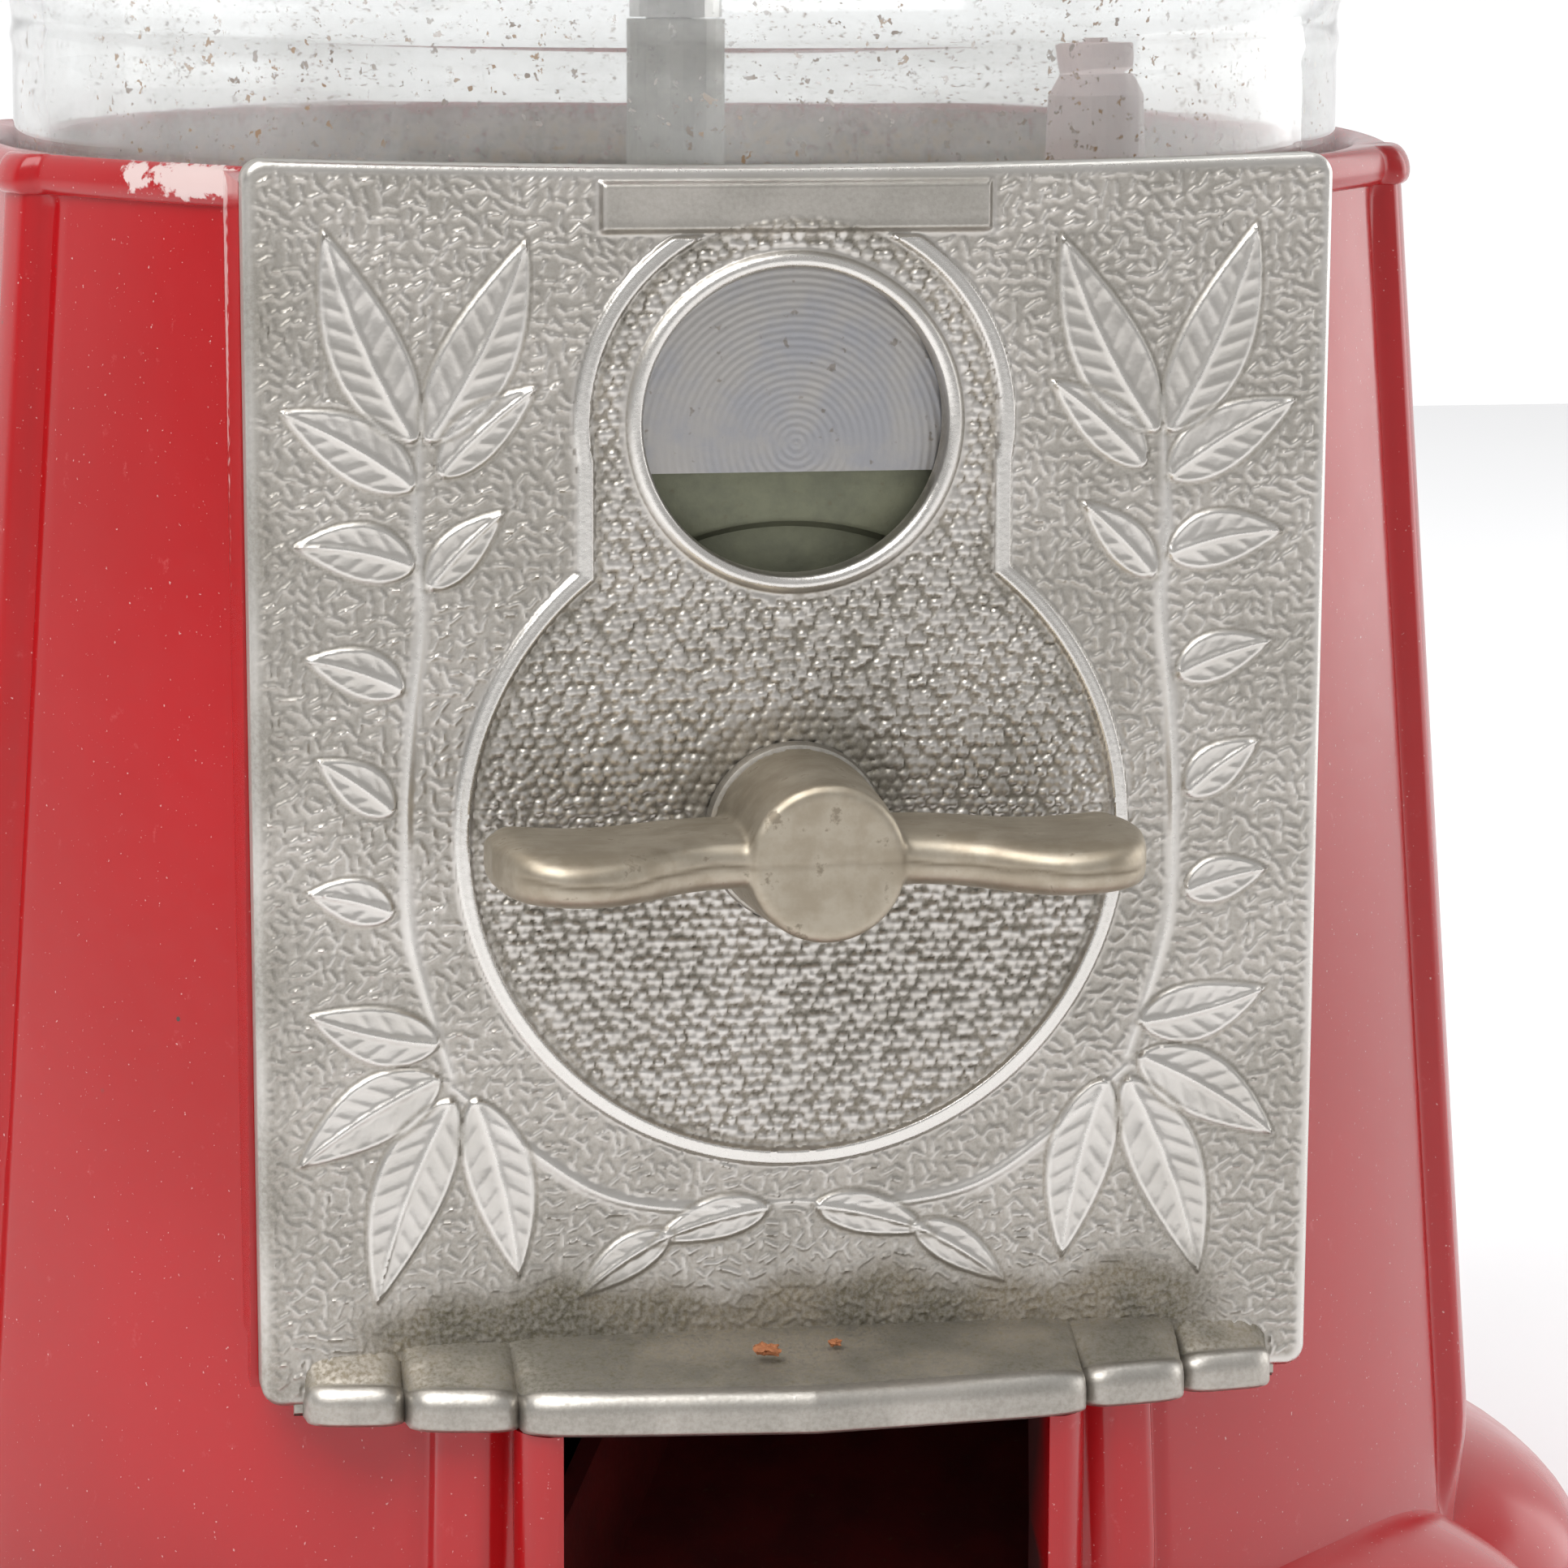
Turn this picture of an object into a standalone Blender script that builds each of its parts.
"""Countertop capsule vending machine: a fluted cast column with a coin mechanism, a glass globe and a lid.

Front is -Y, right is +X, up is +Z, in metres. The origin is on the table, under the centre of the column.
Run it with: blender --background --python part.py
"""

import math

import bmesh
import bpy
from mathutils import Matrix, Vector

GAP = 0.0003  # clearance between pieces that rest on each other
RUNNING_GAP = 0.0003  # clearance round a shaft, rod or pin in its bore
FAR = 0.2  # how far a cutter reaches where only its near faces matter

# Column: eight panels between eight proud corner ribs, widening towards the foot
PANELS = 8
SECTOR = 2 * math.pi / PANELS
RIM_Z = 0.1545
RIM_RADIUS = 0.0722
FLARE = 0.075  # growth of the radius for each unit of height below the rim
RIB_HALF_WIDTH = 0.0033
RIB_HEIGHT = 0.0014
RIB_SIDE = 0.0005
PANEL_FLATNESS = 0.42  # 0 is a round column, 1 is a true octagon
BEAD_HEIGHT = 0.0038
BEAD_PROUD = 0.0012
WALL = 0.0035

# Foot: eight lobes below the panels, creased below the ribs
FOOT_TOP_Z = 0.0225
CREASE_DIP = 0.006  # how much lower the foot meets the ribs than the panels
FOOT_BOTTOM_Z = 0.0016
FOOT_RADIUS = 0.095
CREASE_DEPTH = 0.0075

# Globe and its seat
NECK_RADIUS = 0.0655
GLASS = 0.003
SEAT_Z = 0.1437
FUNNEL_FLANGE = 0.0012
GASKET_HEIGHT = 0.0014
SEAT_RADIUS = 0.0670
THROAT_RADIUS = 0.0618
SHELF_HEIGHT = 0.003
SHELF_END_Z = 0.135
NECK_TOP_Z = 0.1655
GLOBE_RADIUS = 0.105
MOUTH_RADIUS = 0.053
MOUTH_COLLAR = 0.006

# Front plate of the coin mechanism
PLATE_WIDTH = 0.098
PLATE_FOOT_WIDTH = 0.0966
PLATE_HEIGHT = 0.112
PLATE_FACE_Y = -0.070
PLATE_THICKNESS = 0.0036
PLATE_Z = 0.1003
PLATE_CORNER = 0.002
WINDOW_RADIUS = 0.0137
WINDOW_Z = PLATE_Z + 0.0324
SHAFT_Z = PLATE_Z - 0.0044
COIN_REST_RADIUS = 0.0165
COIN_REST_RECESS = 0.0013
LIP_DROP = 0.0045

PLATE_BACK_Y = PLATE_FACE_Y + PLATE_THICKNESS
PLATE_BOTTOM_Z = PLATE_Z - PLATE_HEIGHT / 2
PLATE_TOP_Z = PLATE_Z + PLATE_HEIGHT / 2
BOSS_FACE_Y = PLATE_BACK_Y + GAP
BOSS_WALL = 0.003

# Chute opening below the plate, and the catch dish in the foot in front of it
CHUTE_HALF_WIDTH = 0.0222
CHUTE_FLOOR_Z = 0.014
CHUTE_TOP_Z = PLATE_BOTTOM_Z
JAMB_HALF_WIDTH = 0.0262
JAMB_FRONT_Y = -0.0790
DISH_FRONT_Y = -0.089

# Coin mechanism, on the handle's axis
SHAFT_RADIUS = 0.004
SHAFT_TAIL_RADIUS = 0.003
SHAFT_STEP_Y = -0.0465
SHAFT_END_Y = -0.034
SHAFT_BORE = SHAFT_RADIUS + RUNNING_GAP
TAIL_BORE = SHAFT_TAIL_RADIUS + RUNNING_GAP
SHAFT_FRONT_Y = -0.0812
BUSH_FLANGE_RADIUS = 0.0082
BUSH_BODY_RADIUS = 0.0058
BUSH_PROUD = 0.0018
HANDLE_HALF_SPAN = 0.029
HUB_FRONT_Y = -0.0880
HUB_BACK_RADIUS = 0.0078
HUB_FRONT_RADIUS = 0.0070
WING_THICKNESS = 0.0052
WING_EDGE = 0.0011
# A wing seen from above: how far along the half span, and Y. It bulges forward out near the tip
WING_OUTLINE = [
    (0.30, -0.0876),
    (0.43, -0.0886),
    (0.56, -0.0910),
    (0.68, -0.0928),
    (0.80, -0.0932),
    (0.90, -0.0920),
    (0.965, -0.0892),
    (1.0, -0.0840),
    (0.985, -0.0780),
    (0.94, -0.0727),
]
CARRIER_RADIUS = 0.0375
CARRIER_STEP_RADIUS = 0.0275
CARRIER_Y = (-0.0660, -0.0618)
CARRIER_DISH_DEPTH = 0.0012
RATCHET_RADIUS = 0.018
RATCHET_ROOT_RADIUS = 0.0152
RATCHET_TEETH = 12
RATCHET_Y = (-0.0612, -0.0582)


def on_dial(radius, degrees):
    """A point (x, z) at a radius and angle from the top of the handle's axis, towards the right."""
    angle = math.radians(degrees)
    return radius * math.sin(angle), SHAFT_Z + radius * math.cos(angle)


TIP_CLEARANCE = 0.0012
PAWL_PIVOT = on_dial(0.0270, 68)
PAWL_TIP = on_dial(RATCHET_RADIUS + TIP_CLEARANCE, 40)
DOG_PIVOT = on_dial(0.0445, -58)
DOG_TIP = on_dial(CARRIER_RADIUS + TIP_CLEARANCE, -38)
PIVOT_BORE = 0.0020
PIVOT_RADIUS = PIVOT_BORE - RUNNING_GAP
BACKPLATE_Y = (-0.049, -0.047)
BACKPLATE_HALF_WIDTH = 0.0455
BACKPLATE_Z = (0.0555, 0.1335)
POST_X = 0.042
POST_ZS = (0.0595, 0.1295)
POST_RADIUS = 0.0035
SCREW_HOLE_RADIUS = 0.0019
SCREW_TIP_Y = -0.0550
COIN_RADIUS = 0.0125
COIN_ANGLE = math.radians(-25)  # where the carrier's coin pocket rests, from +X towards +Z

# Gearing: a pinion on the handle's shaft turns the crown gear under the capsule wheel
PINION_TEETH = 6
CROWN_TEETH = 36
CROWN_RADIUS = 0.0402
PINION_PITCH_RADIUS = CROWN_RADIUS * PINION_TEETH / CROWN_TEETH
PINION_TIP_RADIUS = PINION_PITCH_RADIUS + 0.0018
PINION_HUB_RADIUS = 0.0049
TOOTH_WIDTH = 0.002
CROWN_HALF_FACE = 0.002
PINION_HALF_FACE = 0.0025
CROWN_TIP_Z = SHAFT_Z + 0.0053
CROWN_ROOT_Z = SHAFT_Z + 0.0095

# Capsule wheel and what it turns on
POCKETS = 6
POCKET_STEP = 2 * math.pi / POCKETS
POCKET_RADIUS = 0.013
POCKET_CIRCLE = 0.0275
WHEEL_RADIUS = 0.043
WHEEL_BOTTOM_Z = CROWN_ROOT_Z + 0.0023
WHEEL_TOP_Z = 0.1335
WHEEL_BORE = 0.0052
BED_RADIUS = 0.0368
BED_BOTTOM_Z = SHAFT_Z + 0.0090
BED_TOP_Z = WHEEL_BOTTOM_Z - 2 * GAP
CUTOFF_Z = WHEEL_TOP_Z + 0.0055
CUTOFF_THICKNESS = 0.0012
CUTOFF_REACH = math.radians(31)  # half of the sector that the cut-off plate covers
DEFLECTOR_CIRCLE = 0.0435
DEFLECTOR_TIP_Z = 0.1645
OUTLET_ANGLE = math.radians(60)  # from the front towards the right
COLUMN_TUBE_RADIUS = 0.006
ROD_RADIUS = 0.003
ROD_BORE = ROD_RADIUS + RUNNING_GAP
ROD_TOP_Z = 0.3665
STANDOFF_RADIUS = 0.0049
STANDOFF_TOP_Z = 0.1675
CENTRE_TUBE_RADIUS = 0.0046

# Underside
COVER_Z = (0.0055, 0.0075)
COVER_RADIUS = 0.0765
PAD_CIRCLE = 0.066
PLUG_RADIUS = 0.0135
PLUG_Y = 0.040
PLUG_HOLE_RADIUS = PLUG_RADIUS - 0.0008
PLUG_WAIST_RADIUS = PLUG_HOLE_RADIUS - GAP
COVER_UNDER_Z = COVER_Z[0] - GAP
COVER_OVER_Z = COVER_Z[1] + GAP
WASHER_BOTTOM_Z = COVER_Z[0] - 0.0012

RED = (0.55, 0.012, 0.018, 1)
ZINC = (0.52, 0.51, 0.48, 1)
STEEL = (0.60, 0.60, 0.58, 1)
GREEN_ZINC = (0.25, 0.28, 0.22, 1)
GLASS_CLEAR = (0.93, 0.95, 0.95, 1)
RUBBER = (0.03, 0.03, 0.03, 1)
WHEEL_PLASTIC = (0.72, 0.70, 0.64, 1)

UPWARDS = Vector((0, 0, FAR))

# ---------------------------------------------------------------- helpers


def clear_scene():
    for obj in list(bpy.data.objects):
        bpy.data.objects.remove(obj)


def make_collection(name):
    collection = bpy.data.collections.new(name)
    bpy.context.scene.collection.children.link(collection)
    return collection


def make_material(name, colour, roughness, metallic):
    material = bpy.data.materials.new(name)
    material.use_nodes = True
    shader = material.node_tree.nodes["Principled BSDF"]
    shader.inputs["Base Color"].default_value = colour
    shader.inputs["Roughness"].default_value = roughness
    shader.inputs["Metallic"].default_value = metallic
    return material


def add_object(name, data, material=None, collection=None):
    obj = bpy.data.objects.new(name, data)
    (collection or PARTS).objects.link(obj)
    if material:
        data.materials.append(material)
    return obj


def mesh_object(name, bm, material=None, collection=None, smooth=True):
    """Turns a bmesh into an object, shaded smooth except over sharp edges."""
    bmesh.ops.recalc_face_normals(bm, faces=bm.faces)
    mesh = bpy.data.meshes.new(name)
    bm.to_mesh(mesh)
    bm.free()
    if smooth:
        mesh.shade_smooth()
        mesh.set_sharp_from_angle(angle=math.radians(35))
    return add_object(name, mesh, material, collection)


def box(name, low, high, material=None, collection=None):
    bm = bmesh.new()
    bmesh.ops.create_cube(bm, size=1)
    low, high = Vector(low), Vector(high)
    bmesh.ops.scale(bm, vec=high - low, verts=bm.verts)
    bmesh.ops.translate(bm, vec=(low + high) / 2, verts=bm.verts)
    return mesh_object(name, bm, material, collection, smooth=False)


def rod(name, start, end, radius, material=None, collection=None, end_radius=None, segments=32):
    """A cylinder or cone between two points."""
    start, end = Vector(start), Vector(end)
    bm = bmesh.new()
    bmesh.ops.create_cone(
        bm,
        cap_ends=True,
        segments=segments,
        radius1=radius,
        radius2=radius if end_radius is None else end_radius,
        depth=(end - start).length,
    )
    turn = (end - start).to_track_quat("Z", "Y").to_matrix().to_4x4()
    bmesh.ops.transform(bm, matrix=Matrix.Translation((start + end) / 2) @ turn, verts=bm.verts)
    return mesh_object(name, bm, material, collection)


def turned(name, profile, material=None, collection=None, steps=48, closed=True):
    """Turns a profile of (radius, height) about Z, running down its outer side. A closed one makes a ring."""
    mesh = bpy.data.meshes.new(name)
    edges = [(i, i + 1) for i in range(len(profile) - 1)]
    if closed:
        edges.append((len(profile) - 1, 0))
    mesh.from_pydata([(radius, 0, height) for radius, height in profile], edges, [])
    obj = add_object(name, mesh, material, collection)
    screw = obj.modifiers.new("turn", "SCREW")
    screw.axis = "Z"
    screw.steps = screw.render_steps = steps
    screw.use_merge_vertices = True
    screw.merge_threshold = 0.00001
    return obj


def rod_through(name, x, z, radius, segments=24):
    """A cutter along Y for a hole through a flat piece of the mechanism."""
    return rod(name, (x, 2 * PLATE_FACE_Y, z), (x, 0, z), radius, segments=segments)


def outline_plate(name, points, thickness, matrix, material=None, collection=None):
    """A flat outline in XY given half of its thickness each way, placed by a matrix, as a mesh."""
    curve = bpy.data.curves.new(name + "_outline", "CURVE")
    curve.dimensions = "2D"
    curve.fill_mode = "BOTH"
    curve.extrude = thickness / 2
    spline = curve.splines.new("POLY")
    spline.points.add(len(points) - 1)
    for point, (x, y) in zip(spline.points, points):
        point.co = (x, y, 0, 1)
    spline.use_cyclic_u = True
    guide = bpy.data.objects.new(name + "_outline", curve)
    CUTTERS.objects.link(guide)
    guide.matrix_world = matrix
    return baked(name, guide, material, collection)


def baked(name, obj, material=None, collection=None):
    """Replaces an object with one that holds its evaluated mesh, in world space."""
    bpy.context.view_layer.update()
    graph = bpy.context.evaluated_depsgraph_get()
    mesh = bpy.data.meshes.new_from_object(obj.evaluated_get(graph))
    mesh.transform(obj.matrix_world)
    bm = bmesh.new()
    bm.from_mesh(mesh)
    bpy.data.meshes.remove(mesh)
    bpy.data.objects.remove(obj)
    bmesh.ops.remove_doubles(bm, verts=bm.verts, dist=0.000002)
    return mesh_object(name, bm, material, collection)


def joint_axis(name, place, names):
    """An empty on a joint's axis, which the pieces that move on that joint hang from."""
    empty = bpy.data.objects.new(name, None)
    empty.empty_display_size = 0.01
    empty.location = place
    PARTS.objects.link(empty)
    for piece in names:
        obj = bpy.data.objects[piece]
        obj.parent = empty
        obj.matrix_parent_inverse = Matrix.Translation(place).inverted()
    return empty


def combine(target, other, operation="DIFFERENCE"):
    """Cuts another object from the target, or joins it, and hides it as a cutter."""
    modifier = target.modifiers.new(other.name, "BOOLEAN")
    modifier.operation = operation
    modifier.object = other
    other.hide_render = True
    other.display_type = "WIRE"
    if other.name in PARTS.objects:
        PARTS.objects.unlink(other)
        CUTTERS.objects.link(other)
    return target


def face_front(x, y, z):
    """Places an outline drawn in XY so that it is seen from the front: its x is X and its y is Z."""
    return Matrix.Translation((x, y, z)) @ Matrix.Rotation(math.pi / 2, 4, "X")


def polar(radius, angle, z=0.0):
    """A point at an angle from the front, counted towards the right."""
    return Vector((radius * math.sin(angle), -radius * math.cos(angle), z))


def arc(centre, radius, start, end, count):
    """Points on an arc in a plane, from one angle to another, both ends included."""
    step = (end - start) / (count - 1)
    angles = [start + step * i for i in range(count)]
    return [(centre[0] + radius * math.cos(a), centre[1] + radius * math.sin(a)) for a in angles]


def loft(name, rings, material=None, collection=None, closed_loop=False):
    """Joins rings of equal point counts. It caps both ends, or joins the last ring to the first."""
    bm = bmesh.new()
    made = [[bm.verts.new(point) for point in ring] for ring in rings]
    pairs = list(zip(made, made[1:])) + ([(made[-1], made[0])] if closed_loop else [])
    for lower, upper in pairs:
        for i in range(len(lower)):
            j = (i + 1) % len(lower)
            bm.faces.new((lower[i], lower[j], upper[j], upper[i]))
    if not closed_loop:
        bm.faces.new(made[0])
        bm.faces.new(made[-1])
    return mesh_object(name, bm, material, collection)


# ---------------------------------------------------------------- column and foot


def column_radius(z):
    """Radius over the ribs at a height on the column."""
    return RIM_RADIUS + FLARE * (RIM_Z - z)


def sector_angles(radius):
    """Angles from the front, round the whole column, of one ring's points: each rib's edges and its panel."""
    top = RIB_HALF_WIDTH / radius
    side = top + RIB_SIDE / radius
    panel = [SECTOR / 2 + (SECTOR / 2 - side) * share for share in (-0.55, 0, 0.55)]
    places = [-top, top, side, *panel, SECTOR - side]
    return [SECTOR * (sector + 0.5) + place for sector in range(PANELS) for place in places]


def from_panel_centre(angle):
    """How far an angle lies from the centre of its panel."""
    return (angle + SECTOR / 2) % SECTOR - SECTOR / 2


def panel_radius(angle, radius):
    """Radius of the gently crowned panel at an angle, for a corner radius."""
    flat = math.cos(SECTOR / 2) / math.cos(from_panel_centre(angle))
    return radius * (1 + PANEL_FLATNESS * (flat - 1))


def crease_share(angle):
    """0 along the middle of a panel, and 1 along a rib."""
    return abs(from_panel_centre(angle)) / (SECTOR / 2)


def column_ring(z, extra=0.0, ribs=1.0, dip=0.0):
    """One outer ring of the column. extra widens it, ribs scales its ribs and dip lowers it at each rib."""
    radius = column_radius(z) + extra
    rib_edge = SECTOR / 2 - (RIB_HALF_WIDTH + RIB_SIDE / 2) / radius
    ring = []
    for angle in sector_angles(radius):
        on_rib = abs(from_panel_centre(angle)) > rib_edge
        rest = panel_radius(angle, radius - RIB_HEIGHT)
        height = z - dip * crease_share(angle) ** 3
        ring.append(polar(rest + (radius - rest) * ribs if on_rib else rest, angle, height))
    return ring


def foot_ring(share):
    """One outer ring of the lobed foot. share runs from 0 at its top to 1 at its bottom edge."""
    full_width_at, dome = 0.8, 0.12
    out = math.sin(min(1.0, share / full_width_at) * math.pi / 2)
    fall = share - dome * math.sin(math.pi * share)
    start = column_radius(FOOT_TOP_Z) - RIB_HEIGHT
    ring = []
    for angle in sector_angles(start):
        crease = crease_share(angle)
        top = FOOT_TOP_Z - CREASE_DIP * crease**3
        z = top + (FOOT_BOTTOM_Z - top) * fall
        lobe = FOOT_RADIUS - CREASE_DEPTH * crease**4
        base = panel_radius(angle, start)
        ring.append(polar(base + (lobe - base) * out, angle, z))
    return ring


def inner_ring(radius, z):
    return [polar(radius, angle, z) for angle in sector_angles(RIM_RADIUS)]


def body_shell(material):
    """The cast column with its foot, rim, mechanism boss, chute opening and catch dish."""
    foot = [foot_ring(share) for share in (1.0, 0.78, 0.56, 0.36, 0.17, 0.0)]
    bead_bottom = RIM_Z - BEAD_HEIGHT
    thickening = 0.004  # the inside is round, so its wall is thicker behind the ribs
    column = [
        column_ring(FOOT_TOP_Z + 0.0012, dip=CREASE_DIP),
        column_ring(FOOT_TOP_Z + 0.004),
        column_ring((FOOT_TOP_Z + bead_bottom) / 2),
        column_ring(bead_bottom),
        column_ring(bead_bottom + 0.0006, BEAD_PROUD, 0.6),
        column_ring(RIM_Z - 0.0012, BEAD_PROUD, 0.6),
        column_ring(RIM_Z, BEAD_PROUD - 0.0012, 0.4),
    ]
    inside_top = column_radius(SHELF_END_Z) - WALL - thickening
    inside_foot = column_radius(FOOT_TOP_Z) - WALL - thickening
    inside = [
        inner_ring(SEAT_RADIUS + 0.0006, RIM_Z),
        inner_ring(SEAT_RADIUS, RIM_Z - 0.001),
        inner_ring(SEAT_RADIUS, SEAT_Z),
        inner_ring(THROAT_RADIUS, SEAT_Z),
        inner_ring(THROAT_RADIUS, SEAT_Z - SHELF_HEIGHT),
        inner_ring(inside_top, SHELF_END_Z),
        inner_ring(inside_foot, FOOT_TOP_Z),
        inner_ring(inside_foot, COVER_OVER_Z),
        inner_ring(COVER_RADIUS + 0.0005, COVER_OVER_Z),
        inner_ring(COVER_RADIUS + 0.0005, FOOT_BOTTOM_Z),
    ]
    shell = loft("body_shell", foot + column + inside, material, closed_loop=True)
    add_boss(shell)
    add_chute_opening(shell)
    return shell


def add_boss(shell):
    """The rectangular frame that the mechanism drops into, and the flat seat for its plate."""
    half = PLATE_WIDTH / 2
    inner = half - BOSS_WALL
    boss_back_y, way_in_back_y = -0.043, -0.038
    floor = PLATE_BOTTOM_Z + 0.001
    boss = box("boss", (-half, BOSS_FACE_Y, floor), (half, boss_back_y, RIM_Z - 0.0002))
    stand_off = 0.0004
    outside, throat, shelf_z = SEAT_RADIUS + stand_off, THROAT_RADIUS + stand_off, SEAT_Z - stand_off
    low = SHELF_END_Z - 0.015
    neck = [(0, FAR), (outside, FAR), (outside, shelf_z), (throat, shelf_z), (throat, low), (0, low)]
    combine(boss, turned("neck_clearance", neck, closed=False))
    hollow_top = floor + BOSS_WALL + 0.001
    combine(boss, box("boss_hollow", (-FAR, BOSS_FACE_Y + BOSS_WALL, 0), (FAR, 0, hollow_top)))
    combine(shell, boss, "UNION")
    combine(shell, box("boss_way_in", (-inner, -FAR, floor + BOSS_WALL), (inner, way_in_back_y, FAR)))
    clear = half + 2 * GAP
    combine(shell, box("plate_seat", (-clear, -FAR, PLATE_BOTTOM_Z - GAP), (clear, BOSS_FACE_Y, FAR)))


def dish_outline(half_width, front, back, count=9):
    """Half an ellipse ahead of a straight back, in XY, which reaches a little way behind it."""
    depth, behind = back - front, back + 0.012
    turns = [math.pi * i / (count - 1) for i in range(count)]
    rounds = [(half_width * math.cos(turn), back - depth * math.sin(turn)) for turn in turns]
    return [(-half_width, behind), (half_width, behind), *rounds]


def jamb_outline():
    """The raised surround of the chute opening, seen from above."""
    back_y, corner_y, corner_x, front_x = -0.0705, -0.0756, 0.0256, 0.0238
    half = [(JAMB_HALF_WIDTH, back_y), (JAMB_HALF_WIDTH, corner_y), (corner_x, -0.0772), (front_x, JAMB_FRONT_Y)]
    return [*half, *[(-x, y) for x, y in half[::-1]]]


def add_chute_opening(shell):
    """The opening below the plate with its surround, and the dish in the foot's front lobe for a capsule."""
    jamb_low, jamb_high = CHUTE_FLOOR_Z - 0.003, PLATE_BOTTOM_Z - GAP
    middle = Matrix.Translation((0, 0, (jamb_low + jamb_high) / 2))
    combine(shell, outline_plate("chute_jambs", jamb_outline(), jamb_high - jamb_low, middle), "UNION")
    height = FOOT_TOP_Z + 0.006 - CHUTE_FLOOR_Z
    dish_back_y, opening_front_y, opening_back_y = -0.080, -0.083, -0.0675
    dish = outline_plate(
        "catch_dish",
        dish_outline(CHUTE_HALF_WIDTH, DISH_FRONT_Y, dish_back_y),
        height,
        Matrix.Translation((0, 0, CHUTE_FLOOR_Z + height / 2)),
    )
    combine(shell, dish)
    opening = box(
        "chute_opening",
        (-CHUTE_HALF_WIDTH, opening_front_y, CHUTE_FLOOR_Z),
        (CHUTE_HALF_WIDTH, opening_back_y, CHUTE_TOP_Z),
    )
    combine(shell, opening)


def chute(material):
    """An open trough from below the wheel's outlet down to the opening, wider at the front."""
    wall = 0.0015
    back_y, front_y = 0.004, -0.0688
    back_z, front_z = 0.046, CHUTE_FLOOR_Z - wall - 0.0002
    back_x, front_x = (0.0105, 0.0425), (-0.0240, 0.0240)
    rise = 0.017

    def section(y, xs, floor, top, inset):
        left, right = xs[0] + inset, xs[1] - inset
        return [(left, y, floor), (right, y, floor), (right, y, top), (left, y, top)]

    outer = [
        section(back_y, back_x, back_z, back_z + rise, 0),
        section(front_y, front_x, front_z, front_z + rise, 0),
    ]
    trough = loft("chute", outer, material)
    fall = (back_z - front_z) / (back_y - front_y)
    inner = [
        section(back_y - wall, back_x, back_z + wall, 0.09, wall),
        section(front_y - 0.001, front_x, front_z + wall - 0.001 * fall, 0.06, wall),
    ]
    combine(trough, loft("chute_hollow", inner))
    leg_x, leg_y = (back_x[0] + 0.004, back_x[1] - 0.004), (back_y - 0.003, back_y - 0.001)
    leg_top = back_z + wall / 3
    leg = box("chute_leg", (leg_x[0], leg_y[0], COVER_OVER_Z), (leg_x[1], leg_y[1], leg_top))
    return combine(trough, leg, "UNION")


# ---------------------------------------------------------------- globe, lid and underside


def globe_profile():
    """The glass as a profile, and its top: a neck, a hollow curve into a sphere, a collar at the mouth."""
    bottom = SEAT_Z + FUNNEL_FLANGE + GASKET_HEIGHT + 3 * GAP
    blend = 0.010
    centre = NECK_TOP_Z + math.sqrt((GLOBE_RADIUS + blend) ** 2 - (NECK_RADIUS + blend) ** 2)
    turn = math.asin((NECK_RADIUS + blend) / (GLOBE_RADIUS + blend))
    mouth = math.asin(MOUTH_RADIUS / GLOBE_RADIUS)
    top = centre + GLOBE_RADIUS * math.cos(mouth) + MOUTH_COLLAR

    def skin(offset):
        sphere = GLOBE_RADIUS - offset
        hollow = blend + offset
        steps, curve_steps = 9, 3
        start, end = mouth, math.pi - turn
        points = [(MOUTH_RADIUS - offset, top)]
        for i in range(steps + 1):
            angle = start + (end - start) * i / steps
            points.append((sphere * math.sin(angle), centre + sphere * math.cos(angle)))
        for i in range(1, curve_steps + 1):
            angle = turn + (math.pi / 2 - turn) * i / curve_steps
            across = NECK_RADIUS + blend - hollow * math.sin(angle)
            points.append((across, NECK_TOP_Z + hollow * math.cos(angle)))
        points.append((NECK_RADIUS - offset, bottom))
        return points

    return skin(0) + skin(GLASS)[::-1], top


def globe(glass, rubber):
    """The globe, and the gasket that it stands on."""
    turned("globe", globe_profile()[0], glass, steps=32)
    bottom = SEAT_Z + FUNNEL_FLANGE + 2 * GAP
    outer, inner = NECK_RADIUS - 0.0001, NECK_RADIUS - GLASS
    tube("globe_gasket", bottom, bottom + GASKET_HEIGHT, outer, inner, rubber, steps=36)


def lid(red):
    """The domed lid: its plug drops into the globe's mouth and its brim hangs outside it. Returns its top."""
    bottom = globe_profile()[1] + GAP
    hole, wall, dome_height, dome_bottom = 0.0036, 0.002, 0.017, bottom + 0.004
    brim, plug = MOUTH_RADIUS + 0.004, MOUTH_RADIUS - GLASS - 0.001
    crown = []
    for i in range(7):
        angle = math.pi / 2 * i / 6
        across = hole + (brim - wall - hole) * math.sin(angle)
        crown.append((across, dome_bottom + dome_height * math.cos(angle)))
    under = dome_bottom + dome_height - wall
    profile = [
        *crown,
        (brim, dome_bottom - 0.001),
        (brim, bottom - 0.004),
        (brim - wall, bottom - 0.004),
        (brim - wall, bottom),
        (plug, bottom),
        (plug, bottom - 0.006),
        (plug - wall, bottom - 0.006),
        (plug - wall, bottom + wall),
        (0.6 * brim, under - 0.004),
        (hole, under - 0.0002),
    ]
    turned("lid", profile, red, steps=32)
    return dome_bottom + dome_height


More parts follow.
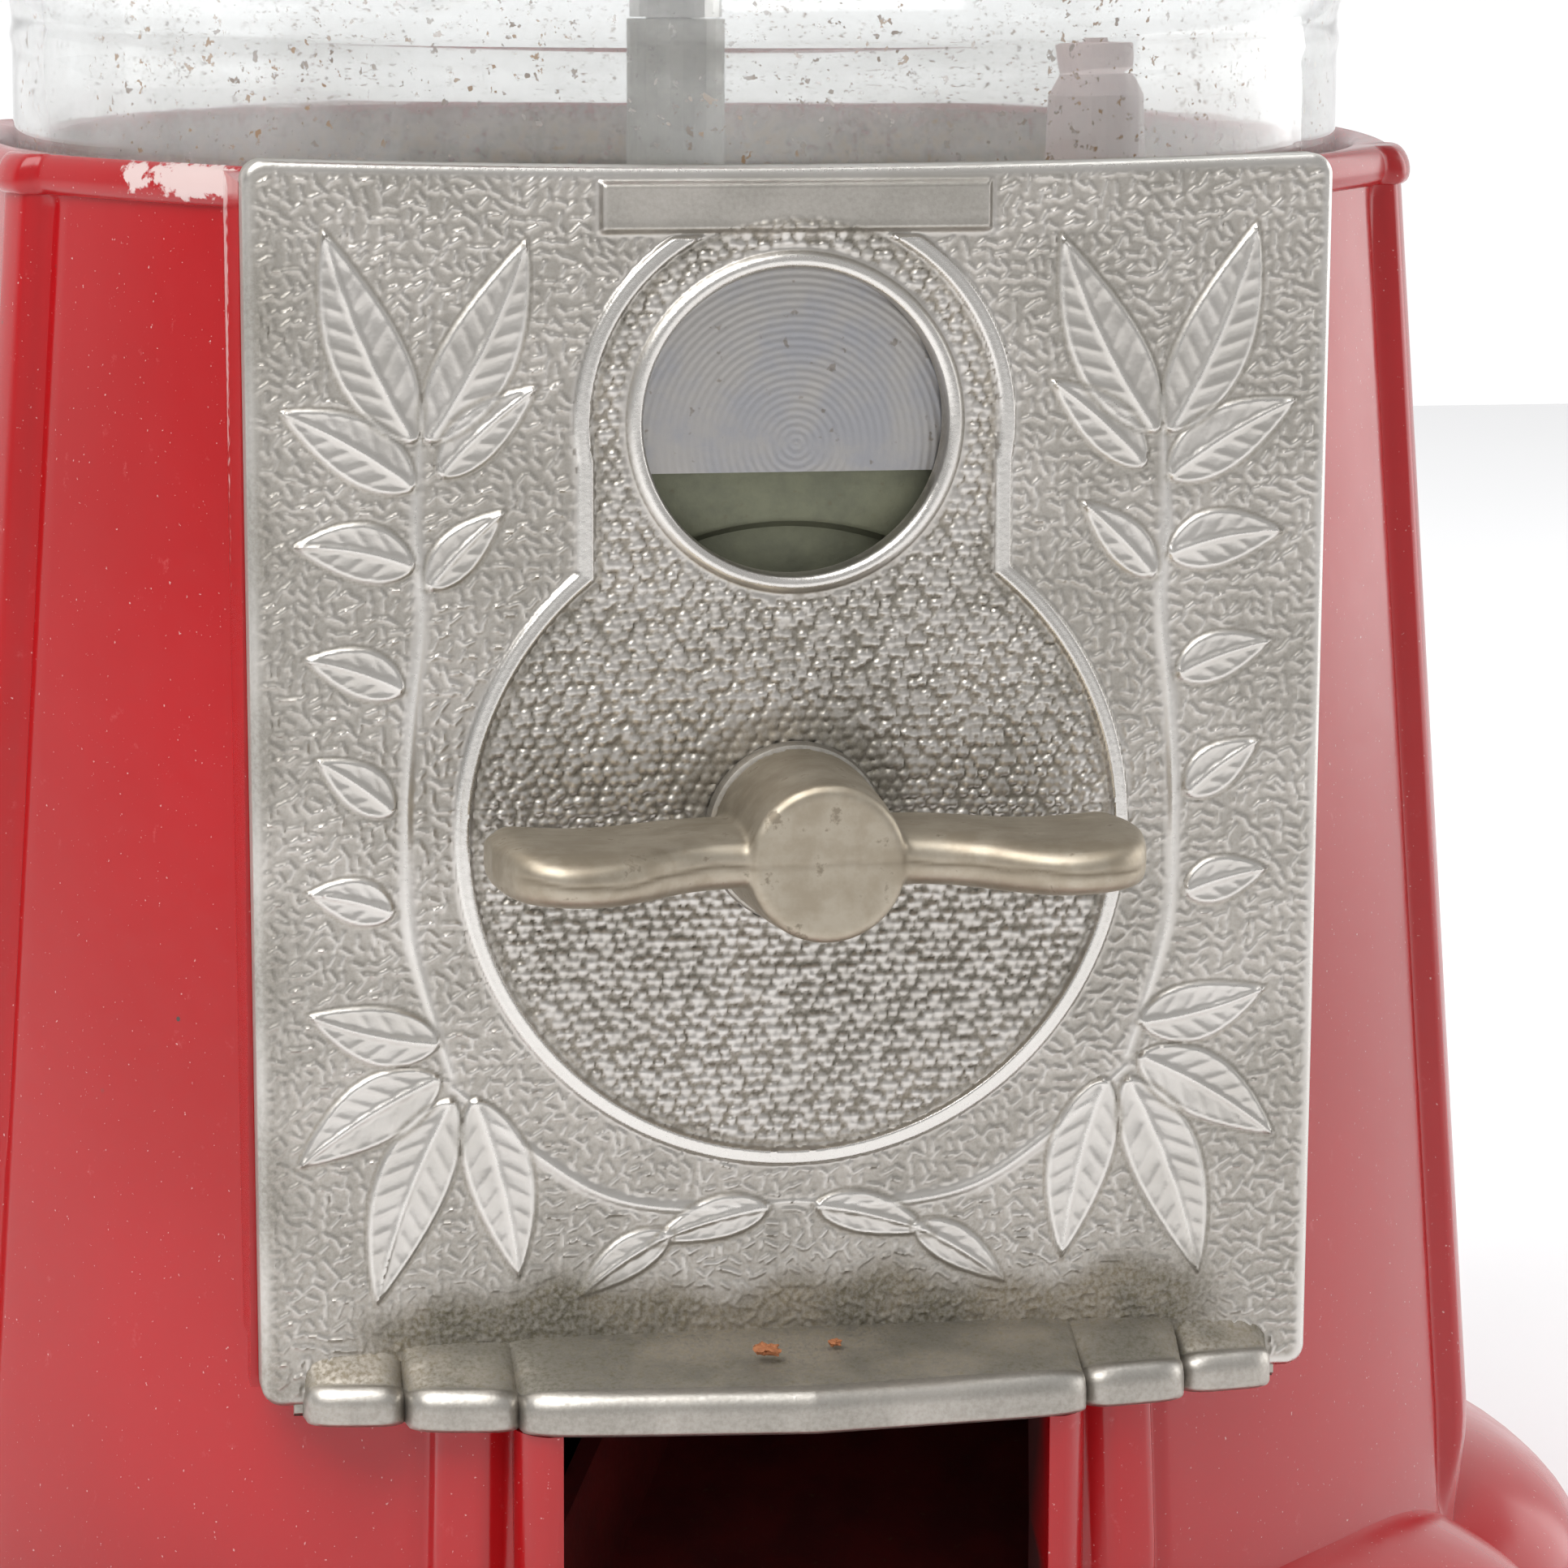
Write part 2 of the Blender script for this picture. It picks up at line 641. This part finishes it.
def lid_nut(nut, chrome):
    """The round cap nut on the tie rod, on top of the lid. nut is the height of its underside."""
    profile = [
        (0, nut + 0.014),
        (0.005, nut + 0.0132),
        (0.0085, nut + 0.0105),
        (0.0098, nut + 0.0065),
        (0.0098, nut + 0.003),
        (0.0115, nut + 0.0024),
        (0.0115, nut),
        (ROD_BORE, nut),
        (ROD_BORE, nut + 0.0095),
        (0, nut + 0.0095),
    ]
    turned("lid_nut", profile, chrome, steps=24, closed=False)


def underside(steel, rubber):
    """The cover under the foot, its rubber coin plug and pads, and the nut on the tie rod."""
    cover = rod("bottom_cover", (0, 0, COVER_Z[0]), (0, 0, COVER_Z[1]), COVER_RADIUS, steel, segments=48)
    combine(cover, rod("cover_rod_hole", (0, 0, 0), (0, 0, FAR), ROD_BORE, segments=20))
    combine(cover, rod("cover_plug_hole", (0, PLUG_Y, 0), (0, PLUG_Y, FAR), PLUG_HOLE_RADIUS, segments=28))
    plug_bottom, plug_top = COVER_Z[0] - 0.002, COVER_Z[1] + 0.0035
    plug = [
        (0, plug_top),
        (PLUG_WAIST_RADIUS - 0.0015, plug_top),
        (PLUG_RADIUS, COVER_OVER_Z),
        (PLUG_WAIST_RADIUS, COVER_OVER_Z),
        (PLUG_WAIST_RADIUS, COVER_UNDER_Z),
        (PLUG_RADIUS + 0.0015, COVER_UNDER_Z),
        (PLUG_RADIUS + 0.0010, plug_bottom),
        (0, plug_bottom),
    ]
    turned("coin_plug", plug, rubber, steps=28, closed=False).location = (0, PLUG_Y, 0)
    for number in range(4):
        spot = polar(PAD_CIRCLE, math.radians(45 + 90 * number))
        top = spot + Vector((0, 0, COVER_UNDER_Z))
        rod(f"foot_pad_{number + 1}", spot, top, 0.0065, rubber, end_radius=0.0075, segments=20)
    nut_top = WASHER_BOTTOM_Z - GAP
    nut = rod("rod_nut", (0, 0, nut_top - 0.0028), (0, 0, nut_top), 0.0058, steel, segments=6)
    combine(nut, rod("rod_nut_hole", (0, 0, -FAR), (0, 0, FAR), ROD_BORE, segments=20))
    tube("rod_washer", WASHER_BOTTOM_Z, COVER_UNDER_Z, 0.0082, ROD_BORE, steel)


def tube(name, bottom, top, outer, inner, material, steps=24):
    return turned(name, [(outer, top), (outer, bottom), (inner, bottom), (inner, top)], material, steps=steps)


def centre_line(steel, zinc):
    """The tie rod that clamps lid, globe and base together, and the tubes round it."""
    rod_bottom, below_lid = 0.0008, 0.0172
    rod("tie_rod", (0, 0, rod_bottom), (0, 0, ROD_TOP_Z), ROD_RADIUS, steel, segments=16)
    tube("bed_column", COVER_OVER_Z, BED_BOTTOM_Z - GAP, COLUMN_TUBE_RADIUS, ROD_BORE, steel)
    tube("centre_standoff", BED_TOP_Z + GAP, STANDOFF_TOP_Z, STANDOFF_RADIUS, ROD_BORE, zinc)
    tube_top = globe_profile()[1] + below_lid
    tube("centre_tube", STANDOFF_TOP_Z + GAP, tube_top, CENTRE_TUBE_RADIUS, ROD_BORE, steel)


# ---------------------------------------------------------------- capsule wheel


def wheel_bed(zinc):
    """The fixed disc that the capsules slide over, open below the outlet."""
    bed = rod("wheel_bed", (0, 0, BED_BOTTOM_Z), (0, 0, BED_TOP_Z), BED_RADIUS, zinc, segments=40)
    outlet = polar(POCKET_CIRCLE, OUTLET_ANGLE)
    combine(bed, rod("bed_outlet", outlet, outlet + UPWARDS, POCKET_RADIUS + 0.0008, segments=28))
    combine(bed, rod("bed_bore", (0, 0, 0), UPWARDS, ROD_BORE, segments=20))


def capsule_wheel(plastic):
    """The wheel that carries one capsule in each pocket to the outlet."""
    low, high = (0, 0, WHEEL_BOTTOM_Z), (0, 0, WHEEL_TOP_Z)
    wheel = rod("capsule_wheel", low, high, WHEEL_RADIUS, plastic, segments=48)
    for pocket in range(POCKETS):
        spot = polar(POCKET_CIRCLE, OUTLET_ANGLE + POCKET_STEP * pocket)
        combine(wheel, rod(f"pocket_{pocket}", spot, spot + UPWARDS, POCKET_RADIUS, segments=24))
    combine(wheel, rod("wheel_bore", (0, 0, 0), UPWARDS, WHEEL_BORE, segments=24))


def crown_gear(zinc):
    """The face gear under the wheel's rim, with the gaps between its teeth cut from a ring."""
    inner, outer = CROWN_RADIUS - CROWN_HALF_FACE, CROWN_RADIUS + CROWN_HALF_FACE
    crown = tube("crown_gear", CROWN_TIP_Z, WHEEL_BOTTOM_Z - GAP, outer, inner, zinc, steps=36)
    gap = CROWN_RADIUS * 2 * math.pi / CROWN_TEETH - TOOTH_WIDTH
    bm = bmesh.new()
    for tooth in range(CROWN_TEETH):
        angle = 2 * math.pi * tooth / CROWN_TEETH
        place = Matrix.Translation(polar(CROWN_RADIUS, angle, CROWN_ROOT_Z - 0.01))
        size = Matrix.Diagonal((gap, 0.012, 0.02, 1))
        bmesh.ops.create_cube(bm, size=1, matrix=place @ Matrix.Rotation(angle, 4, "Z") @ size)
    combine(crown, mesh_object("crown_gaps", bm, smooth=False))


def hopper_funnel(zinc):
    """The funnel that leads capsules from the globe to the wheel. Its flange lies on the globe's seat."""
    flange_bottom = SEAT_Z + GAP
    flange_top = flange_bottom + FUNNEL_FLANGE
    lip_radius, lip_z, sheet = WHEEL_RADIUS + 0.001, WHEEL_TOP_Z, 0.0014
    funnel = turned(
        "hopper_funnel",
        [
            (SEAT_RADIUS - 0.0005, flange_top),
            (SEAT_RADIUS - 0.0005, flange_bottom),
            (THROAT_RADIUS - 0.0005, flange_bottom),
            (lip_radius, lip_z),
            (lip_radius, lip_z + sheet),
            (THROAT_RADIUS - 0.002, flange_top),
        ],
        zinc,
        steps=36,
    )
    behind_plate_y = -0.0656
    combine(funnel, box("funnel_front", (-FAR, -FAR, 0), (FAR, behind_plate_y, FAR)))


def cutoff(steel, red):
    """The sector that keeps loose capsules off the pocket over the outlet, and the post that parts them."""
    centre = OUTLET_ANGLE - math.pi / 2
    start, end = centre - CUTOFF_REACH, centre + CUTOFF_REACH
    outline = arc((0, 0), 0.012, end, start, 5) + arc((0, 0), 0.0490, start, end, 9)
    place = Matrix.Translation((0, 0, CUTOFF_Z + CUTOFF_THICKNESS / 2))
    outline_plate("cutoff_plate", outline, CUTOFF_THICKNESS, place, steel)
    foot_z = CUTOFF_Z + CUTOFF_THICKNESS + GAP
    profile = [
        (0, DEFLECTOR_TIP_Z),
        (0.0011, DEFLECTOR_TIP_Z),
        (0.0012, DEFLECTOR_TIP_Z - 0.0014),
        (0.0035, DEFLECTOR_TIP_Z - 0.0018),
        (0.0046, DEFLECTOR_TIP_Z - 0.0050),
        (0.0052, foot_z),
        (0, foot_z),
    ]
    post = turned("deflector_post", profile, red, steps=20, closed=False)
    post.location = polar(DEFLECTOR_CIRCLE, OUTLET_ANGLE)


# ---------------------------------------------------------------- coin mechanism


def rounded_rectangle(width, height, radius, foot_width=None, sag=0.0, count=4):
    """A rectangle with round corners. foot_width tapers it and sag hollows the middle of its top edge."""
    top_x, y = width / 2 - radius, height / 2 - radius
    foot_x = (foot_width or width) / 2 - radius
    quarter = math.pi / 2
    corners = []
    for turn, centre in enumerate([(top_x, y), (-top_x, y), (-foot_x, -y), (foot_x, -y)]):
        corners.append(arc(centre, radius, quarter * turn, quarter * (turn + 1), count))
    top = []
    if sag:
        shares = [1 - i / 4 for i in range(1, 8)]
        top = [(top_x * share, height / 2 - sag * (1 - share**2)) for share in shares]
    return corners[0] + top + corners[1] + corners[2] + corners[3]


def lip_outline():
    """The canopy's front edge in plan: a wide middle lobe with two stepped lobes on each side."""
    # Half of the outline: where each lobe starts and ends across, and its depth at both
    lobes = [
        (0.0, 0.0258, 0.0128, 0.0105),
        (0.0258, 0.0357, 0.0082, 0.0064),
        (0.0357, 0.0458, 0.0040, 0.0026),
    ]
    half = []
    for start, end, inner, outer in lobes:
        for i in range(6):
            share = i / 5
            depth = inner + (outer - inner) * share
            rounding = 0.0016 * (2 * share - 1) ** 4 if start else 0.0012 * share**4
            half.append((start + (end - start) * share * 0.985, PLATE_FACE_Y - depth + rounding))
    half.append((0.0464, PLATE_FACE_Y + 0.0009))
    return [(-x, y) for x, y in half[:0:-1]] + half


def front_plate(zinc):
    """The cast face plate with its window, shaft hole and the canopy over the chute."""
    plate = outline_plate(
        "front_plate",
        rounded_rectangle(PLATE_WIDTH, PLATE_HEIGHT, PLATE_CORNER, PLATE_FOOT_WIDTH, sag=0.0009),
        PLATE_THICKNESS,
        face_front(0, PLATE_FACE_Y + PLATE_THICKNESS / 2, PLATE_Z),
        zinc,
    )
    lip = outline_plate(
        "lip",
        lip_outline(),
        LIP_DROP,
        Matrix.Translation((0, 0, PLATE_BOTTOM_Z + 0.0004 + LIP_DROP / 2)),
    )
    combine(plate, lip, "UNION")
    combine(plate, rod_through("window_hole", 0, WINDOW_Z, WINDOW_RADIUS, segments=40))
    combine(plate, rod_through("bush_hole", 0, SHAFT_Z, BUSH_BODY_RADIUS + 0.0004, segments=32))
    floor = PLATE_BACK_Y - COIN_REST_RECESS
    start, end = (0, 0, WINDOW_Z), (0, floor, WINDOW_Z)
    return combine(plate, rod("rest_recess", start, end, COIN_REST_RADIUS + GAP, segments=40))


def along_shaft(name, profile, material, steps=32):
    """Turns a profile of (radius, y) about the handle's axis. It runs from the front to the back."""
    solid = profile[0][0] == 0
    obj = turned(name, [(radius, -y) for radius, y in profile], material, steps=steps, closed=not solid)
    obj.matrix_world = Matrix.Translation((0, 0, SHAFT_Z)) @ Matrix.Rotation(math.pi / 2, 4, "X")
    return obj


def wing_ring(share):
    """Both wings' outline seen from above, at a share of their half thickness. The outer ones are smaller."""
    inset = WING_EDGE if abs(share) == 1 else 0
    right = []
    for along, y in WING_OUTLINE:
        in_from_front = inset if y < -0.080 else 0
        right.append((HANDLE_HALF_SPAN * along - inset * along, y + in_from_front))
    z = SHAFT_Z + share * WING_THICKNESS / 2
    return [(x, y, z) for x, y in right] + [(-x, y, z) for x, y in right[::-1]]


def handle(zinc):
    """The butterfly handle: a tapered hub with two wings, hollow behind for the shaft."""
    hub_back = (0, PLATE_FACE_Y - 0.0022, SHAFT_Z)
    hub_front = (0, HUB_FRONT_Y, SHAFT_Z)
    hub = rod("handle", hub_back, hub_front, HUB_BACK_RADIUS, zinc, end_radius=HUB_FRONT_RADIUS, segments=40)
    combine(hub, loft("wings", [wing_ring(share) for share in (-1, -0.72, 0.72, 1)]), "UNION")
    socket_end = (0, SHAFT_FRONT_Y - GAP, SHAFT_Z)
    return combine(hub, rod("handle_socket", (0, 0, SHAFT_Z), socket_end, SHAFT_BORE, segments=24))


def handle_shaft(steel):
    profile = [
        (0, SHAFT_FRONT_Y),
        (SHAFT_RADIUS, SHAFT_FRONT_Y),
        (SHAFT_RADIUS, SHAFT_STEP_Y),
        (SHAFT_TAIL_RADIUS, SHAFT_STEP_Y),
        (SHAFT_TAIL_RADIUS, SHAFT_END_Y),
        (0, SHAFT_END_Y),
    ]
    along_shaft("handle_shaft", profile, steel, steps=24)


def star(teeth, tip, root, tooth_half, root_half):
    """A gear outline of straight radial teeth, the first one pointing up."""
    points = []
    for tooth in range(teeth):
        angle = math.pi / 2 - 2 * math.pi * tooth / teeth
        for radius, across in ((root, root_half), (tip, tooth_half)):
            points.append((radius, angle + math.asin(across / radius)))
        for radius, across in ((tip, tooth_half), (root, root_half)):
            points.append((radius, angle - math.asin(across / radius)))
    return [(radius * math.cos(a), radius * math.sin(a)) for radius, a in points]


def saw(teeth, tip, root):
    """A ratchet outline: each tooth ramps up from its root to a sharp tip."""
    points = []
    step = 2 * math.pi / teeth
    for tooth in range(teeth):
        for radius, share in ((root, 0.0), (tip, 0.08), ((tip + root) / 2, 0.52)):
            angle = math.pi / 2 - step * (tooth + share)
            points.append((radius * math.cos(angle), radius * math.sin(angle)))
    return points


def on_shaft(name, points, ys, material, bore):
    """A flat wheel on the handle's axis between two places along it, with a bore."""
    middle, thickness = (ys[0] + ys[1]) / 2, ys[1] - ys[0]
    wheel = outline_plate(name, points, thickness, face_front(0, middle, SHAFT_Z), material)
    return combine(wheel, rod_through(f"{name}_bore", 0, SHAFT_Z, bore))


def moving_mechanism(zinc, steel, green):
    """What turns with the handle: shaft, coin carrier, ratchet wheel, pinion and nut."""
    handle(zinc)
    handle_shaft(steel)
    points = 48
    rim = arc((0, 0), CARRIER_RADIUS, 0, 2 * math.pi * (1 - 1 / points), points)
    carrier = on_shaft("coin_carrier", rim, CARRIER_Y, green, SHAFT_BORE)
    floor = Vector((0, CARRIER_Y[0] + CARRIER_DISH_DEPTH, SHAFT_Z))
    ahead, behind = Vector((0, -0.01, 0)), Vector((0, 0.01, 0))
    combine(carrier, rod("carrier_dish", floor + ahead, floor, CARRIER_STEP_RADIUS, segments=40))
    pocket = floor + Vector((math.cos(COIN_ANGLE), 0, math.sin(COIN_ANGLE))) * (CARRIER_RADIUS - 0.004)
    combine(carrier, rod("coin_pocket", pocket + ahead, pocket + behind, COIN_RADIUS, segments=28))
    teeth = saw(RATCHET_TEETH, RATCHET_RADIUS, RATCHET_ROOT_RADIUS)
    on_shaft("ratchet_wheel", teeth, RATCHET_Y, steel, SHAFT_BORE)
    pinion_ys = (-CROWN_RADIUS - PINION_HALF_FACE, -CROWN_RADIUS + PINION_HALF_FACE)
    half = TOOTH_WIDTH / 2
    teeth = star(PINION_TEETH, PINION_TIP_RADIUS, PINION_HUB_RADIUS, half, half)
    on_shaft("drive_pinion", teeth, pinion_ys, steel, TAIL_BORE)
    hexagon = arc((0, 0), 0.0062, 0, math.pi * 5 / 3, 6)
    on_shaft("shaft_nut", hexagon, (pinion_ys[1] + GAP, pinion_ys[1] + 0.0032), steel, TAIL_BORE)
    return ["handle", "handle_shaft", "coin_carrier", "ratchet_wheel", "drive_pinion", "shaft_nut"]


def coin_rest(steel):
    """The half-moon that a coin leans on behind the window, with a straight lower edge below its middle."""
    lean = math.asin(0.0047 / COIN_REST_RADIUS)
    half_moon = arc((0, 0), COIN_REST_RADIUS, -lean, math.pi + lean, 25)
    thickness = COIN_REST_RECESS - GAP
    place = face_front(0, PLATE_BACK_Y - thickness / 2, WINDOW_Z)
    outline_plate("coin_rest", half_moon, thickness, place, steel)


def back_plate(zinc, steel, green):
    """The plate behind the mechanism, with the shaft's back bearing, and its posts and screws."""
    low_z, high_z = BACKPLATE_Z
    outline = rounded_rectangle(2 * BACKPLATE_HALF_WIDTH, high_z - low_z, 0.006)
    place = face_front(0, sum(BACKPLATE_Y) / 2, (low_z + high_z) / 2)
    plate = outline_plate("mech_backplate", outline, BACKPLATE_Y[1] - BACKPLATE_Y[0], place, green)
    combine(plate, rod_through("back_bearing", 0, SHAFT_Z, SHAFT_BORE))
    spots = [(x, z) for z in POST_ZS for x in (-POST_X, POST_X)]
    for number, (x, z) in enumerate(spots, 1):
        combine(plate, rod_through(f"screw_hole_{number}", x, z, SCREW_HOLE_RADIUS, segments=12))
        start, end = (x, PLATE_BACK_Y + GAP, z), (x, BACKPLATE_Y[0] - GAP, z)
        post = rod(f"mech_post_{number}", start, end, POST_RADIUS, zinc, segments=16)
        start, end = (x, SCREW_TIP_Y - 0.0005, z), (x, 0, z)
        combine(post, rod(f"post_thread_{number}", start, end, SCREW_HOLE_RADIUS, segments=12))
        mech_screw(number, x, z, steel)


def mech_screw(number, x, z, steel):
    """A round-headed screw through the back plate into a post."""
    radius, head_radius, head_y, head_end_y = 0.0016, 0.0036, BACKPLATE_Y[1] + GAP, BACKPLATE_Y[1] + 0.0022
    profile = [
        (0, SCREW_TIP_Y),
        (radius, SCREW_TIP_Y),
        (radius, head_y),
        (head_radius, head_y),
        (head_radius - 0.0006, head_end_y),
        (0, head_end_y),
    ]
    screw = along_shaft(f"mech_screw_{number}", profile, steel, steps=12)
    screw.matrix_world = face_front(x, 0, z)


def shaft_bush(zinc):
    """The flanged ring in the plate that the handle's shaft turns in."""
    front_y, flange_y, back_y = PLATE_FACE_Y - BUSH_PROUD, PLATE_FACE_Y - GAP, PLATE_BACK_Y + 0.001
    profile = [
        (SHAFT_BORE, front_y),
        (BUSH_FLANGE_RADIUS - 0.0001, front_y),
        (BUSH_FLANGE_RADIUS, flange_y),
        (BUSH_BODY_RADIUS, flange_y),
        (BUSH_BODY_RADIUS, back_y),
        (SHAFT_BORE, back_y),
    ]
    along_shaft("shaft_bush", profile, zinc)


def lever(name, pivot, tip, ys, material):
    """A flat lever that is round about its pivot and narrows to its tip."""
    pivot, tip = Vector(pivot), Vector(tip)
    along = (tip - pivot).normalized()
    across = Vector((-along.y, along.x))
    reach = (tip - pivot).length
    start = math.atan2(across.y, across.x)
    points = [tuple(tip - across * 0.0007 - pivot), tuple(tip + across * 0.0009 - pivot)]
    points.append(tuple(across * 0.0026 + along * reach * 0.45))
    points += arc((0, 0), 0.0042, start, start + math.pi, 9)
    points.append(tuple(-across * 0.0022 + along * reach * 0.5))
    middle = (ys[0] + ys[1]) / 2
    made = outline_plate(name, points, ys[1] - ys[0], face_front(pivot.x, middle, pivot.y), material)
    return combine(made, rod_through(f"{name}_bore", pivot.x, pivot.y, PIVOT_BORE, segments=16))


def lever_set(name, pivot, tip, ys, zinc, steel):
    """A lever with its pivot pin and the torsion spring that pushes it home."""
    lever(name, pivot, tip, ys, zinc)
    x, z = pivot
    joint_axis(f"{name}_axis", (x, (ys[0] + ys[1]) / 2, z), [name])
    start, end = (x, ys[0] - 0.0002, z), (x, BACKPLATE_Y[0] - GAP, z)
    rod(f"{name}_pin", start, end, PIVOT_RADIUS, steel, segments=12)
    turns, per_turn, wire, radius = 3, 10, 0.00045, 0.0031
    length = min(BACKPLATE_Y[0] - ys[1] - 0.0022, 0.0042)
    curve = bpy.data.curves.new(f"{name}_spring", "CURVE")
    curve.dimensions = "3D"
    curve.bevel_depth = wire
    curve.bevel_resolution = 1
    curve.use_fill_caps = True
    spline = curve.splines.new("POLY")
    count = turns * per_turn + 1
    spline.points.add(count - 1)
    for i, point in enumerate(spline.points):
        angle = 2 * math.pi * i / per_turn
        y = ys[1] + 0.0008 + length * i / (count - 1)
        point.co = (x + radius * math.cos(angle), y, z + radius * math.sin(angle), 1)
    add_object(f"{name}_spring", curve, steel)


def main():
    red = make_material("red_enamel", RED, 0.28, 0.0)
    zinc = make_material("cast_zinc", ZINC, 0.38, 1.0)
    steel = make_material("steel", STEEL, 0.32, 1.0)
    green = make_material("passivated_zinc", GREEN_ZINC, 0.55, 0.6)
    glass = make_material("clear_glass", GLASS_CLEAR, 0.05, 0.0)
    rubber = make_material("black_rubber", RUBBER, 0.8, 0.0)
    plastic = make_material("wheel_plastic", WHEEL_PLASTIC, 0.5, 0.0)

    body_shell(red)
    chute(steel)
    underside(steel, rubber)
    centre_line(steel, zinc)

    wheel_bed(zinc)
    capsule_wheel(plastic)
    crown_gear(zinc)
    hopper_funnel(zinc)
    cutoff(steel, red)
    joint_axis("wheel_axis", (0, 0, WHEEL_BOTTOM_Z), ["capsule_wheel", "crown_gear"])

    front_plate(zinc)
    shaft_bush(zinc)
    coin_rest(steel)
    back_plate(zinc, steel, green)
    turning = moving_mechanism(zinc, steel, green)
    joint_axis("handle_axis", (0, PLATE_FACE_Y, SHAFT_Z), turning)
    pawl_ys = (RATCHET_Y[0] + GAP, RATCHET_Y[1] - GAP)
    lever_set("ratchet_pawl", PAWL_PIVOT, PAWL_TIP, pawl_ys, zinc, steel)
    dog_ys = (CARRIER_Y[0] + GAP, CARRIER_Y[1] - GAP)
    lever_set("coin_dog", DOG_PIVOT, DOG_TIP, dog_ys, zinc, steel)

    globe(glass, rubber)
    lid_top = lid(red)
    lid_nut(lid_top + GAP, steel)


clear_scene()
PARTS = make_collection("capsule_machine")
CUTTERS = make_collection("cutters")
main()
